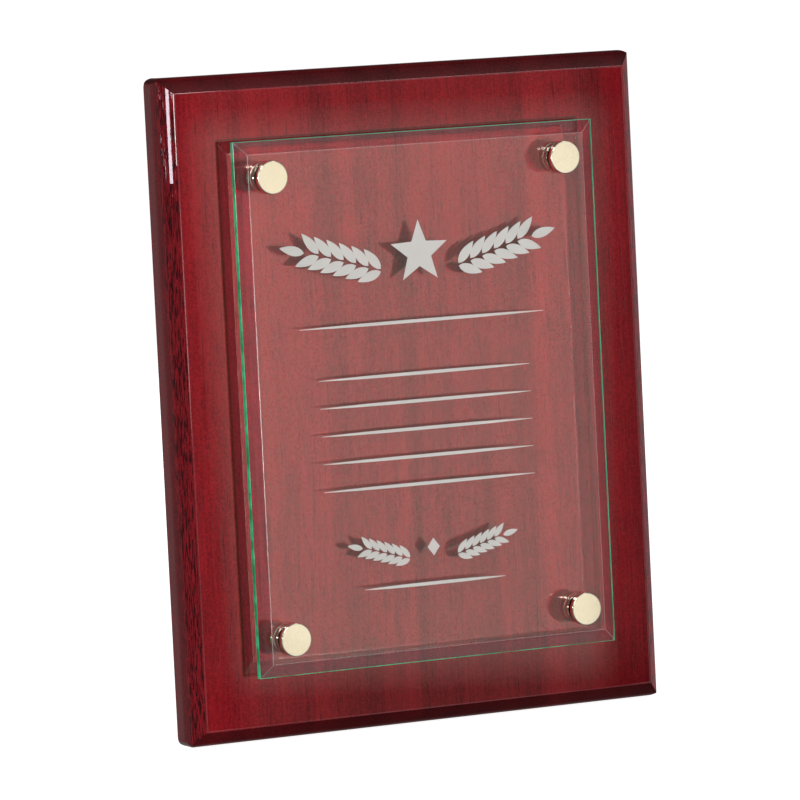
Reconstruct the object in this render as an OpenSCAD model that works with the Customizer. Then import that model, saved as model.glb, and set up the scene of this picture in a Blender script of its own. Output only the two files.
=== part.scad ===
// Award plaque: a bevelled glass plate carried on four turned standoffs in front of a lacquered board.
// The back of the board lies in the XZ plane, the front faces -Y, +Z is up, millimetres.

/* [Board] */
// Width of the board
board_w = 203.2; // [190:0.1:260]
// Height of the board
board_h = 254; // [240:0.1:320]
// Thickness of the board
board_t = 15; // [14:0.5:22]
// Leg of the flat bevel round the front face
bevel_leg = 4.2; // [2:0.1:6]
// Radius of the shoulder between the bevel and the side
shoulder_r = 6.4; // [3:0.1:7.5]
// Radius of the four corners, seen from the front
corner_r = 4; // [1:0.1:8]
// Chamfer round the back edge
back_arris = 0.8; // [0.2:0.1:1.5]

/* [Glass] */
// Width of the glass plate
glass_w = 152.4; // [130:0.1:170]
// Height of the glass plate
glass_h = 203.2; // [180:0.1:220]
// Thickness of the glass plate
glass_t = 4; // [3:0.1:6]
// Width of the polished bevel, seen from the front
glass_bevel_w = 5; // [3:0.1:7]
// Depth of the polished bevel at the edge
glass_bevel_d = 1.8; // [0.6:0.1:2.4]
// Distance from the glass edges to a hole centre
hole_inset = 14; // [12.5:0.1:20]
// Diameter of the holes in the glass
glass_hole_d = 6.4; // [6:0.1:7.5]

/* [Standoffs] */
// Diameter of the cap head
cap_d = 12.7; // [11:0.1:15]
// Thickness of the cap head
cap_t = 2.2; // [1.6:0.1:4]
// Chamfer round the front of the cap
cap_rim = 0.4; // [0.1:0.05:0.7]
// Diameter of the barrel
barrel_d = 11.4; // [9.5:0.1:14]
// Length of the barrel in front of the board
barrel_l = 5.6; // [4.5:0.1:14]
// Chamfer on both ends of the barrel
barrel_rim = 0.4; // [0.1:0.05:0.7]
// Diameter of the spigot that seats in the board
spigot_d = 7; // [6:0.1:8.5]
// Length of the spigot that seats in the board
spigot_l = 6; // [4:0.1:6.5]
// Diameter of the thread in the barrel
thread_d = 4; // [3:0.1:4.5]
// Length of the stud that is screwed into the barrel
stud_engage = 5.2; // [3:0.1:5.5]
// Diameter of the soft washers on both sides of the glass
washer_d = 10.4; // [9:0.1:10.8]
// Thickness of the soft washers on both sides of the glass
washer_t = 0.4; // [0.2:0.05:1]

/* [Back screws] */
// Diameter of the screw head
screw_head_d = 7.6; // [6.5:0.1:8.5]
// Height of the screw head
screw_head_t = 2.4; // [1.8:0.1:2.6]
// Diameter of the flat washer under the head
flat_washer_d = 9; // [8.6:0.1:10]
// Thickness of the flat washer under the head
flat_washer_t = 0.8; // [0.5:0.1:1]
// Diameter of the counterbore in the back of the board
counterbore_d = 11; // [10.4:0.1:14]
// Wood left between the counterbore and the spigot socket
web_t = 3.4; // [2.5:0.1:3.6]
// Gap between the screw tip and the stud tip inside the barrel
tip_gap = 1; // [0.4:0.1:1.6]

/* [Hangers] */
// Length of a keyhole plate
plate_l = 46; // [42:0.5:60]
// Width of a keyhole plate
plate_w = 16; // [14:0.5:20]
// Thickness of a keyhole plate
plate_t = 1.5; // [1:0.1:2]
// Diameter of the keyhole's round entry
entry_d = 9.5; // [8.5:0.1:10.5]
// Width of the keyhole's slot
slot_w = 5; // [4.5:0.1:5.5]
// Distance from the entry's centre to the slot's end centre
slot_l = 10; // [8:0.5:12]
// Distance between the two plate screws
plate_screw_gap = 37; // [34:0.5:38]
// Distance from the board's edge to a plate's centre
hanger_inset = 34; // [30:0.5:45]
// Depth of the pocket for the wall screw's head, behind the plate
pocket_t = 6.5; // [5:0.5:8]
// Margin of the head pocket round the keyhole
pocket_margin = 1.4; // [0.8:0.1:2]
// Head diameter of a plate screw
plate_screw_head_d = 5.6; // [5:0.1:6]
// Shank diameter of a plate screw
plate_screw_d = 2.9; // [2.4:0.1:3.2]
// Length of a plate screw
plate_screw_l = 9; // [7:0.5:11]

/* [Clearances] */
// Radial play of the stud and the screw in the barrel and the sleeve
thread_play = 0.05; // [0.02:0.01:0.08]
// Radial play of the sleeve in the glass and the spigot in the board
seat_play = 0.05; // [0.02:0.01:0.1]
// Play round a keyhole plate in its recess, and of its face below the back of the board
plate_play = 0.1; // [0.05:0.05:0.3]
// Radial play of a screw shank in its clearance hole
shank_play = 0.25; // [0.1:0.05:0.4]
// Play below the end of a spigot or a plate screw
end_play = 0.2; // [0.1:0.05:0.5]

/* [Hidden] */
$fn = 96;
// Overlap of a cut past the face that it opens
cut = 1;
corners = ["top_left", "top_right", "bottom_left", "bottom_right"];
corner_side = [[-1, 1], [1, 1], [-1, -1], [1, -1]];
hangers = ["upright", "sideways"];

// Shoulder arc: it starts on the bevel at half a right angle and ends upright on the side
bevel_angle = 45;
shoulder_in = shoulder_r * (1 - sin(bevel_angle));
face_inset = bevel_leg + shoulder_in;
shoulder_back = board_t - bevel_leg - shoulder_r * cos(bevel_angle);

// Heights forward of the wall, from the back of the board to the cap's face
spigot_h = board_t - spigot_l;
web_h = spigot_h - end_play - web_t;
barrel_h = board_t + barrel_l;
glass_h0 = barrel_h + washer_t;
glass_h1 = glass_h0 + glass_t;
cap_h = glass_h1 + washer_t;
stud_tip_h = barrel_h - stud_engage;
screw_tip_h = stud_tip_h - tip_gap;
screw_seat_h = web_h - flat_washer_t;

// Radii of the turned pieces
thread_r = thread_d / 2;
stud_r = thread_r - thread_play;
sleeve_bore_r = thread_r + thread_play;
sleeve_r = glass_hole_d / 2 - seat_play;
stud_point = 0.5;

// Cross recess of the screws
recess_w = 1;
recess_share = 0.6;
recess_t = 1.2;
head_round = 0.7;

// Keyhole plates: heights, the keyhole's place and the plate screws
plate_h0 = plate_play;
plate_h1 = plate_h0 + plate_t;
pocket_h = plate_h1 + pocket_t;
entry_z = -slot_l / 2;
slot_z = slot_l / 2;
plate_screw_cone = (plate_screw_head_d - plate_screw_d) / 2;
plate_screw_point = 2;
hanger_x = [0, board_w / 2 - hanger_inset];
hanger_z = [board_h / 2 - hanger_inset, 0];
hanger_turn = [0, 90];

hole_x = glass_w / 2 - hole_inset;
hole_z = glass_h / 2 - hole_inset;

function per_corner(part) = [for (c = corners) str(part, "_", c)];
function per_hanger(part) = [for (h = hangers) str(part, "_", h)];

// Places children, built with their height along +Z, on a standoff's axis
module at_corner(i) {
    translate([corner_side[i][0] * hole_x, 0, corner_side[i][1] * hole_z])
        rotate([90, 0, 0])
            children();
}

// Places children, built in the XY plane with their height along +Z, on a hanger's centre
module at_hanger(i) {
    translate([hanger_x[i], 0, hanger_z[i]])
        rotate([0, hanger_turn[i], 0])
            rotate([90, 0, 0])
                children();
}

// A cylinder between two heights
module disc(r, from_h, to_h) {
    translate([0, 0, from_h])
        cylinder(r = r, h = to_h - from_h);
}

// Flat ring
module ring(outer_r, inner_r, from_h, to_h) {
    difference() {
        disc(outer_r, from_h, to_h);
        disc(inner_r, from_h - cut, to_h + cut);
    }
}

// Slot with round ends, along Y, from one end's centre to the other
module slot2d(r, from_y, to_y) {
    translate([-r, from_y])
        square([2 * r, to_y - from_y]);
    translate([0, from_y])
        circle(r);
    translate([0, to_y])
        circle(r);
}

// Rectangle with round corners, centred
module round_rect2d(w, h, r) {
    square([w - 2 * r, h], center = true);
    square([w, h - 2 * r], center = true);
    for (sx = [-1, 1], sy = [-1, 1])
        translate([sx * (w / 2 - r), sy * (h / 2 - r)])
            circle(r);
}

// Section across the board, from side to side and from the back up to the front face
module board_section2d(w) {
    half = w / 2;
    bevel_x = half - shoulder_in;
    bevel_y = board_t - bevel_leg;
    intersection() {
        translate([-half, 0])
            square([w, board_t]);
        union() {
            for (s = [-1, 1])
                translate([s * (half - shoulder_r), shoulder_back])
                    circle(shoulder_r);
            polygon([
                [-half + back_arris, 0], [half - back_arris, 0],
                [half, back_arris], [half, shoulder_back],
                [half - shoulder_r, shoulder_back],
                [bevel_x, bevel_y], [half - face_inset, board_t],
                [-half + face_inset, board_t], [-bevel_x, bevel_y],
                [-half + shoulder_r, shoulder_back],
                [-half, shoulder_back], [-half, back_arris]
            ]);
        }
    }
}

// Section across the glass plate, with its polished bevel towards the front
module glass_section2d(w) {
    half = w / 2;
    polygon([
        [-half, 0], [half, 0],
        [half, glass_t - glass_bevel_d], [half - glass_bevel_w, glass_t],
        [-half + glass_bevel_w, glass_t], [-half, glass_t - glass_bevel_d]
    ]);
}

// Extrudes a section upright, along Z, or from side to side, along X
module swept_upright(l) {
    translate([0, 0, -l / 2])
        linear_extrude(l)
            mirror([0, 1])
                children();
}

module swept_sideways(l) {
    rotate([0, 90, 0])
        swept_upright(l)
            children();
}

// Round entry with a slot above it
module keyhole2d() {
    translate([0, entry_z])
        circle(entry_d / 2);
    slot2d(slot_w / 2, entry_z, slot_z);
}

module backing_board() {
    color("#7a2328")
        difference() {
            intersection() {
                swept_upright(board_h) board_section2d(board_w);
                swept_sideways(board_w) board_section2d(board_h);
                rotate([90, 0, 0])
                    linear_extrude(board_t)
                        round_rect2d(board_w, board_h, corner_r);
            }
            for (i = [0 : len(corners) - 1])
                at_corner(i) {
                    disc(counterbore_d / 2, -cut, web_h);
                    disc(thread_r + shank_play, 0, board_t);
                    disc(spigot_d / 2 + seat_play, spigot_h - end_play, board_t + cut);
                }
            for (i = [0 : len(hangers) - 1])
                at_hanger(i)
                    hanger_recess();
        }
}

// Room for a keyhole plate, the wall screw's head and the plate screws
module hanger_recess() {
    plate_r = plate_w / 2;
    translate([0, 0, -cut])
        linear_extrude(plate_h1 + cut)
            slot2d(plate_r + plate_play, plate_r - plate_l / 2, plate_l / 2 - plate_r);
    translate([0, 0, -cut])
        linear_extrude(pocket_h + cut)
            slot2d(entry_d / 2 + pocket_margin, entry_z, slot_z);
    for (s = [-1, 1])
        translate([0, s * plate_screw_gap / 2, 0])
            disc(plate_screw_d / 2 + thread_play, 0, plate_h0 + plate_screw_l + end_play);
}

module glass_plate() {
    color("#b9dccb", 0.35)
        difference() {
            translate([0, -glass_h0, 0])
                intersection() {
                    swept_upright(glass_h) glass_section2d(glass_w);
                    swept_sideways(glass_w) glass_section2d(glass_h);
                }
            for (i = [0 : len(corners) - 1])
                at_corner(i)
                    disc(glass_hole_d / 2, glass_h0 - cut, glass_h1 + cut);
        }
}

// Flat-headed cap with its threaded stud
module standoff_cap() {
    cap_r = cap_d / 2;
    color("#e9cf8f")
        rotate_extrude()
            polygon([
                [0, stud_tip_h], [stud_r - stud_point, stud_tip_h],
                [stud_r, stud_tip_h + stud_point], [stud_r, cap_h],
                [cap_r - cap_rim / 2, cap_h], [cap_r, cap_h + cap_rim / 2],
                [cap_r, cap_h + cap_t - cap_rim], [cap_r - cap_rim, cap_h + cap_t],
                [0, cap_h + cap_t]
            ]);
}

// Soft clear washer between the cap and the glass
module cap_washer() {
    color("#e8eceb", 0.6)
        ring(washer_d / 2, sleeve_bore_r, glass_h1, cap_h);
}

// Clear sleeve that keeps the stud off the glass
module glass_sleeve() {
    color("#e8eceb", 0.6)
        ring(sleeve_r, sleeve_bore_r, glass_h0, glass_h1);
}

// Soft clear washer between the glass and the barrel
module barrel_washer() {
    color("#e8eceb", 0.6)
        ring(washer_d / 2, sleeve_bore_r, barrel_h, glass_h0);
}

// Turned barrel that stands on the board, with a spigot in the board and a thread right through
module standoff_barrel() {
    barrel_r = barrel_d / 2;
    spigot_r = spigot_d / 2;
    color("#c9a045")
        difference() {
            rotate_extrude()
                polygon([
                    [0, spigot_h], [spigot_r, spigot_h], [spigot_r, board_t],
                    [barrel_r - barrel_rim, board_t], [barrel_r, board_t + barrel_rim],
                    [barrel_r, barrel_h - barrel_rim], [barrel_r - barrel_rim, barrel_h],
                    [0, barrel_h]
                ]);
            disc(thread_r, spigot_h - cut, barrel_h + cut);
        }
}

// Two crossed slots in a screw head that faces the back
module cross_recess(head_h, head_r) {
    for (turn = [0, 90])
        rotate(turn)
            translate([-head_r * recess_share, -recess_w / 2, head_h - cut])
                cube([2 * head_r * recess_share, recess_w, recess_t + cut]);
}

// Machine screw that holds the barrel from the back of the board
module back_screw() {
    head_r = screw_head_d / 2;
    head_h = screw_seat_h - screw_head_t;
    color("#b8b8b4")
        difference() {
            rotate_extrude()
                polygon([
                    [0, head_h], [head_r - head_round, head_h], [head_r, head_h + head_round],
                    [head_r, screw_seat_h], [stud_r, screw_seat_h],
                    [stud_r, screw_tip_h - stud_point], [stud_r - stud_point, screw_tip_h],
                    [0, screw_tip_h]
                ]);
            cross_recess(head_h, head_r);
        }
}

// Flat washer under the screw head
module screw_washer() {
    color("#c9c9c4")
        ring(flat_washer_d / 2, thread_r + shank_play, screw_seat_h, web_h);
}

// Recessed plate with a keyhole for a wall screw
module keyhole_plate() {
    plate_r = plate_w / 2;
    color("#d2b15a")
        difference() {
            translate([0, 0, plate_h0])
                linear_extrude(plate_t)
                    difference() {
                        slot2d(plate_r, plate_r - plate_l / 2, plate_l / 2 - plate_r);
                        keyhole2d();
                    }
            for (s = [-1, 1])
                translate([0, s * plate_screw_gap / 2, 0])
                    plate_screw_hole();
        }
}

// Countersunk hole for a plate screw
module plate_screw_hole() {
    disc(plate_screw_d / 2 + thread_play, 0, plate_h1 + cut);
    translate([0, 0, plate_h0])
        cylinder(
            r1 = plate_screw_head_d / 2 + thread_play,
            r2 = plate_screw_d / 2 + thread_play,
            h = plate_screw_cone
        );
}

// The two countersunk screws of a keyhole plate
module plate_screws() {
    head_r = plate_screw_head_d / 2;
    shank_r = plate_screw_d / 2;
    tip_h = plate_h0 + plate_screw_l;
    color("#cbb26a")
        for (s = [-1, 1])
            translate([0, s * plate_screw_gap / 2, 0])
                difference() {
                    rotate_extrude()
                        polygon([
                            [0, plate_h0], [head_r, plate_h0],
                            [shank_r, plate_h0 + plate_screw_cone],
                            [shank_r, tip_h - plate_screw_point], [0, tip_h]
                        ]);
                    cross_recess(plate_h0, shank_r);
                }
}

backing_board();
glass_plate();
for (i = [0 : len(corners) - 1]) {
    at_corner(i) standoff_cap();
    at_corner(i) cap_washer();
    at_corner(i) glass_sleeve();
    at_corner(i) barrel_washer();
    at_corner(i) standoff_barrel();
    at_corner(i) back_screw();
    at_corner(i) screw_washer();
}
for (i = [0 : len(hangers) - 1]) {
    at_hanger(i) keyhole_plate();
    at_hanger(i) plate_screws();
}
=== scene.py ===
import math

import bpy
from mathutils import Matrix, Vector


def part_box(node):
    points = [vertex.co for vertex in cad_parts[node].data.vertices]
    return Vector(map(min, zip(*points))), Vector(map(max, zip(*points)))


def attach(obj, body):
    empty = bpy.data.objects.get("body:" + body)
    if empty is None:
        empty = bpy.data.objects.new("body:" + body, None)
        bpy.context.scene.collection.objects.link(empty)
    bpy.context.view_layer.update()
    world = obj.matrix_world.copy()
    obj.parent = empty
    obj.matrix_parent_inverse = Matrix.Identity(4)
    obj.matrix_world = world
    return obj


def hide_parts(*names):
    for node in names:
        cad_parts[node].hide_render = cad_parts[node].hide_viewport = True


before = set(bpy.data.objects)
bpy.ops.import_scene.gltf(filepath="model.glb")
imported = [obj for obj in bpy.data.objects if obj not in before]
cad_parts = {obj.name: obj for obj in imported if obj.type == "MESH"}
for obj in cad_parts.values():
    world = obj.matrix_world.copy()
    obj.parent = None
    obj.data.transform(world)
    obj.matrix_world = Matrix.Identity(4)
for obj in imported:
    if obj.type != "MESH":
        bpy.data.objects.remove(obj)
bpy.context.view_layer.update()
scene = bpy.context.scene

mm = 0.001
weldReach = 0.0005 * mm  # points nearer than this become one
tiny = 1e-6
overcut = 1  # millimetres that a cutter reaches past a face
frontFacing = -0.9  # y of the normal of a face that looks forward
fullyFacing = 0.99
corners = {"top_left": (-1, 1), "top_right": (1, 1), "bottom_left": (-1, -1), "bottom_right": (1, -1)}
hangers = ["upright", "sideways"]
sides = (-1, 1)
print("frame loaded:", len(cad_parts), "nodes")


# small helpers for working as by hand

def take(sizes, *keys):  # several values of a dictionary at once
    return [sizes[key] for key in keys]


def clearSelection():
    if bpy.context.object and bpy.context.object.mode != "OBJECT":
        backToObject()
    bpy.ops.object.select_all(action="DESELECT")


def pick(piece):
    clearSelection()
    piece.select_set(True)
    bpy.context.view_layer.objects.active = piece


def nameIt(piece, name):
    piece.name = name
    piece.data.name = name
    return piece


def startPicking(piece, kind):  # nothing selected, ready for faces or edges
    pick(piece)
    toEdit()
    bpy.ops.mesh.select_mode(type=kind)
    bpy.ops.mesh.select_all(action="DESELECT")
    backToObject()


def selectFaces(piece, test):
    startPicking(piece, "FACE")
    for face in piece.data.polygons:
        face.select = test(face)
    toEdit()


def bevelEdges(piece, width, test, segments=1, material=-1):
    startPicking(piece, "EDGE")
    points = piece.data.vertices
    for edge in piece.data.edges:
        edge.select = test(points[edge.vertices[0]].co, points[edge.vertices[1]].co)
    toEdit()
    bpy.ops.mesh.bevel(offset=width, segments=segments, affect="EDGES", material=material)
    backToObject()


def toEdit():
    bpy.ops.object.mode_set(mode="EDIT")


def backToObject():
    bpy.ops.object.mode_set(mode="OBJECT")


def drop(piece):
    bpy.data.objects.remove(piece)


def settle(piece):  # the place goes into the mesh, the object back to the origin
    pick(piece)
    bpy.ops.object.transform_apply(location=True, rotation=True, scale=True)


def addModifier(piece, kind, **settings):
    pick(piece)
    modifier = piece.modifiers.new(kind.lower(), kind)
    for key, value in settings.items():
        setattr(modifier, key, value)
    bpy.ops.object.modifier_apply(modifier=modifier.name)


def cutAway(piece, cutter, operation="DIFFERENCE", selfCrossing=False):
    addModifier(piece, "BOOLEAN", object=cutter, operation=operation, solver="EXACT",
                material_mode="TRANSFER", use_self=selfCrossing)
    drop(cutter)


def joinAll(pieces):
    clearSelection()
    for piece in pieces:
        piece.select_set(True)
    bpy.context.view_layer.objects.active = pieces[0]
    bpy.ops.object.join()
    return bpy.context.object


def copyPiece(piece, name, matrix):  # each copy has its own mesh
    twin = piece.copy()
    twin.data = piece.data.copy()
    scene.collection.objects.link(twin)
    twin.data.transform(matrix)
    return nameIt(twin, name)


def tidyMesh(piece):
    pick(piece)
    toEdit()
    bpy.ops.mesh.select_all(action="SELECT")
    bpy.ops.mesh.remove_doubles(threshold=weldReach)
    bpy.ops.mesh.dissolve_degenerate(threshold=weldReach)
    bpy.ops.mesh.normals_make_consistent(inside=False)
    backToObject()


def roundEdges(piece, width, angle, material=-1):
    addModifier(piece, "BEVEL", width=width, segments=2, limit_method="ANGLE",
                angle_limit=math.radians(angle), material=material)


def extrude(way):
    bpy.ops.mesh.extrude_region_move(TRANSFORM_OT_translate={"value": way})


# a turned piece: points (radius, height off the wall) make its half section,
# which is spun about the axis of a standoff
def turnPiece(name, section, segments, ring=False):
    clearSelection()
    bpy.ops.mesh.primitive_plane_add(size=mm)
    piece = nameIt(bpy.context.object, name)
    toEdit()
    bpy.ops.mesh.select_mode(type="VERT")
    bpy.ops.mesh.select_all(action="SELECT")
    bpy.ops.mesh.merge(type="CENTER")
    points = [Vector((radius, -height, 0)) * mm for radius, height in section]
    bpy.ops.transform.translate(value=points[0])
    for last, point in zip(points, points[1:] + points[:1] * ring):
        extrude(point - last)
    bpy.ops.mesh.select_all(action="SELECT")
    bpy.ops.mesh.remove_doubles(threshold=weldReach)
    bpy.ops.mesh.select_all(action="SELECT")
    bpy.ops.mesh.spin(steps=segments, angle=2 * math.pi, center=(0, 0, 0), axis=(0, 1, 0))
    backToObject()
    tidyMesh(piece)
    return piece


def boxPiece(name, low, high):
    clearSelection()
    middle = [(a + b) / 2 for a, b in zip(low, high)]
    bpy.ops.mesh.primitive_cube_add(size=1, location=middle)
    piece = nameIt(bpy.context.object, name)
    piece.scale = [b - a for a, b in zip(low, high)]
    settle(piece)
    return piece


def discPiece(name, points, radius, y):  # a flat disc that stands in XZ
    clearSelection()
    bpy.ops.mesh.primitive_circle_add(vertices=points, radius=radius, fill_type="NGON",
                                      rotation=(math.pi / 2, 0, 0), location=(0, y, 0))
    piece = nameIt(bpy.context.object, name)
    settle(piece)
    return piece


def thicken(piece, depth):  # a flat disc becomes a block
    selectFaces(piece, lambda face: True)
    extrude((0, depth, 0))
    backToObject()
    tidyMesh(piece)
    return piece


# a flat bar with round ends, standing in XZ, from one end's centre to the other
def slotPiece(name, radius, fromZ, toZ, fromHeight, toHeight, points=64):
    piece = discPiece(name, points, radius, -fromHeight)
    for vertex in piece.data.vertices:
        vertex.co.z += toZ if vertex.co.z > tiny else fromZ
    return thicken(piece, fromHeight - toHeight)


def growFront(forward, scaleX, scaleZ):  # the selected front face steps forward and shrinks
    extrude((0, -forward, 0))
    bpy.ops.transform.resize(value=(scaleX, 1, scaleZ), center_override=(0, 0, 0))


# materials

def newMaterial(name):
    material = bpy.data.materials.new(name)
    material.use_nodes = True
    material.node_tree.nodes.clear()
    return material, material.node_tree


def addNode(tree, kind, inputs=None, **settings):
    node = tree.nodes.new("ShaderNode" + kind)
    for key, value in settings.items():
        setattr(node, key, value)
    for key, value in (inputs or {}).items():
        if isinstance(value, bpy.types.NodeSocket):
            tree.links.new(value, node.inputs[key])
        else:
            node.inputs[key].default_value = value
    return node


def showShader(tree, kind, inputs):
    shader = addNode(tree, kind, inputs)
    addNode(tree, "OutputMaterial", {"Surface": shader.outputs[0]})


def objectPlace(tree, scale=(1, 1, 1)):
    place = addNode(tree, "TexCoord").outputs["Object"]
    return addNode(tree, "Mapping", {"Vector": place, "Scale": scale}).outputs["Vector"]


def partsOf(tree, kind):  # x, y and z of a place or a direction
    vector = addNode(tree, "TexCoord").outputs[kind]
    return addNode(tree, "SeparateXYZ", {"Vector": vector}).outputs


def noise(tree, place, scale, detail, roughness=0.55):
    return addNode(tree, "TexNoise", {"Vector": place, "Scale": scale, "Detail": detail,
                                      "Roughness": roughness}).outputs["Fac"]


def spread(tree, value, fromLow, fromHigh, toLow=0.0, toHigh=1.0):
    return addNode(tree, "MapRange", {"Value": value, "From Min": fromLow, "From Max": fromHigh,
                                      "To Min": toLow, "To Max": toHigh}).outputs["Result"]


def sums(tree, operation, first, second):
    return addNode(tree, "Math", {0: first, 1: second}, operation=operation).outputs[0]


def plus(tree, first, second):
    return sums(tree, "ADD", first, second)


def times(tree, first, second):
    return sums(tree, "MULTIPLY", first, second)


def awayFrom(tree, value, centre=0.0):
    return sums(tree, "ABSOLUTE", sums(tree, "SUBTRACT", value, centre), 0)


def blendColour(tree, share, first, second, kind="MIX"):
    first, second = ((*value, 1) if isinstance(value, tuple) else value for value in (first, second))
    inputs = {0: share, 6: first, 7: second}  # sockets of a mix of colours
    return addNode(tree, "Mix", inputs, data_type="RGBA", blend_type=kind).outputs[2]


def bump(tree, height, distance):
    node = addNode(tree, "Bump", {"Height": height, "Distance": distance, "Strength": 1.0})
    return node.outputs["Normal"]


# rosewood-red veneer under a deep clear lacquer
veneer = {
    "bright": (0.365, 0.0143, 0.0217),
    "dark": (0.170, 0.0067, 0.0112),
    "pore": (0.030, 0.0020, 0.0040),
    "grainDraw": 0.028,  # the grain is drawn out along the height, the pores less
    "poreDraw": 0.045,
    "streak": (75, 2, 0.55, 0.75),  # layers of the figure: scale, detail, roughness and share of each
    "fine": (1500, 3, 0.6, 0.55),
    "shimmer": (60, 2, 0.55, 0.25),
    "speck": (1150, 2, 0.55, 0.8),
    "figureSpan": (0.95, 1.40),
    "poreScale": 1500,
    "poreSpan": (0.61, 0.70),
    "poreShare": 0.5,
    "poreDepth": 0.012 * mm,
    "fleckScale": 2600,  # short open pores on the side bevels
    "fleckDraw": 0.075,
    "fleckSpan": (0.50, 0.55),
    "fleckShare": 0.95,
    "peelScale": 260,  # waviness of the lacquer
    "peelDepth": 0.0015 * mm,
    "ragged": (0.04, 0.8),  # how far the lacquer sinks into the pores, on the face and on the bevels
    "slope": 0.72,  # part of the normal that points sideways on a bevel
    "slopeSpan": (0.04, 0.3),
    "sideBevel": 1.10,  # painted light and shade: the level the side bevels take in place of the face's painted shading
    "endBevelShade": 0.55,  # painted shade: the top and bottom bevels are darker by this share
    "paintedShadeSpan": (-0.1, 0.1),  # painted shade: the colour darkens from left to right, for light that falls off across the board
    "lower": 0.64,  # painted shade: the lower edge of the face is darker, save at its left
    "lowerShadeSpan": (-0.09, -0.115),
    "lowerShadeFrom": (-0.09, -0.04),
    "upperShade": 0.88,  # painted shade on the upper edge, a little
    "upperShadeSpan": (0.09, 0.112),
    "middle": 0.95,  # painted shade: the middle of the face, behind the glass, is a little darker
    "middleSpanX": (0.062, 0.088),
    "middleSpanZ": (0.085, 0.112),
    "fallingShade": 0.85,  # painted shade: it darkens from top to bottom
    "fallingShadeSpan": (-0.09, 0.1),
    "stripe": 1.32,  # a light stripe of the figure, right of the middle
    "stripeAt": 0.055,
    "stripeHalf": 0.020,
}


def slopeShare(tree, normalPart):  # 1 on a bevel, 0 on the face and the walls
    offSlope = awayFrom(tree, awayFrom(tree, normalPart), veneer["slope"])
    return spread(tree, offSlope, *veneer["slopeSpan"], 1.0, 0.0)


def veneerFigure(tree, grain, place):
    figure = 0.0
    for layer, where in (("streak", grain), ("fine", grain), ("shimmer", place), ("speck", place)):
        *look, share = veneer[layer]
        figure = plus(tree, figure, times(tree, noise(tree, where, *look), share))
    return spread(tree, figure, *veneer["figureSpan"])


def veneerLevel(tree, paintedShadeAcross, sideBevel, endBevel):  # painted light and shade over the board, and a light stripe of the figure
    where = partsOf(tree, "Object")
    x, z = where["X"], where["Z"]
    lower = times(tree, spread(tree, z, *veneer["lowerShadeSpan"]), spread(tree, x, *veneer["lowerShadeFrom"]))
    fromStripe = awayFrom(tree, x, veneer["stripeAt"])
    fromMiddle = sums(tree, "MAXIMUM", spread(tree, awayFrom(tree, x), *veneer["middleSpanX"]),
                      spread(tree, awayFrom(tree, z), *veneer["middleSpanZ"]))
    level = spread(tree, x, *veneer["paintedShadeSpan"], *paintedShadeAcross)
    factors = [
        spread(tree, z, *veneer["fallingShadeSpan"], veneer["fallingShade"], 1.0),
        spread(tree, fromStripe, 0, veneer["stripeHalf"], veneer["stripe"], 1.0),
        spread(tree, lower, 0, 1, 1.0, veneer["lower"]),
        spread(tree, z, *veneer["upperShadeSpan"], 1.0, veneer["upperShade"]),
        spread(tree, fromMiddle, 0, 1, veneer["middle"], 1.0),
    ]
    for factor in factors:
        level = times(tree, level, factor)
    # the side bevels take their own painted level of light and shade
    toBevel = times(tree, sums(tree, "SUBTRACT", veneer["sideBevel"], level), sideBevel)
    level = plus(tree, level, toBevel)
    return times(tree, level, spread(tree, endBevel, 0, 1, 1.0, 1 - veneer["endBevelShade"]))


def makeVeneer(name, coat, coatRoughness, paintedShadeAcross):
    material, tree = newMaterial(name)
    grain = objectPlace(tree, (1, 1, veneer["grainDraw"]))
    vessels = objectPlace(tree, (1, 1, veneer["poreDraw"]))
    shortPores = objectPlace(tree, (1, 1, veneer["fleckDraw"]))
    place = addNode(tree, "TexCoord").outputs["Object"]
    facing = partsOf(tree, "Normal")
    sideBevel = slopeShare(tree, facing["X"])
    endBevel = slopeShare(tree, facing["Z"])
    colour = blendColour(tree, veneerFigure(tree, grain, place), veneer["dark"], veneer["bright"])
    pores = spread(tree, noise(tree, vessels, veneer["poreScale"], detail=2), *veneer["poreSpan"])
    flecks = noise(tree, shortPores, veneer["fleckScale"], detail=2)
    openPores = times(tree, spread(tree, flecks, *veneer["fleckSpan"], 0.0, veneer["fleckShare"]), sideBevel)
    poreShare = sums(tree, "MAXIMUM", times(tree, pores, veneer["poreShare"]), openPores)
    colour = blendColour(tree, poreShare, colour, veneer["pore"])
    level = veneerLevel(tree, paintedShadeAcross, sideBevel, endBevel)
    shade = addNode(tree, "CombineColor", {"Red": level, "Green": level, "Blue": level}).outputs["Color"]
    colour = blendColour(tree, 1.0, colour, shade, kind="MULTIPLY")
    wave = bump(tree, noise(tree, place, veneer["peelScale"], detail=1), veneer["peelDepth"])
    dent = times(tree, pores, spread(tree, sideBevel, 0, 1, *veneer["ragged"]))
    sunk = addNode(tree, "Bump", {"Height": dent, "Distance": veneer["poreDepth"], "Normal": wave},
                   invert=True).outputs["Normal"]
    showShader(tree, "BsdfPrincipled", {
        "Base Color": colour, "Roughness": 0.5, "Specular IOR Level": 0.0,
        "Coat Weight": coat, "Coat Roughness": coatRoughness, "Coat IOR": 1.6, "Coat Normal": sunk})
    return material


# two tones in a fine cloud, drawn out along the height where asked
def makeClouded(name, dark, light, scale, inputs, detail=2, draw=1, depth=0):
    material, tree = newMaterial(name)
    cloud = noise(tree, objectPlace(tree, (1, 1, draw)), scale, detail)
    inputs["Base Color"] = blendColour(tree, cloud, dark, light)
    if depth:
        inputs["Normal"] = bump(tree, cloud, depth)
    showShader(tree, "BsdfPrincipled", inputs)
    return material


glassIndex = 1.42


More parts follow.
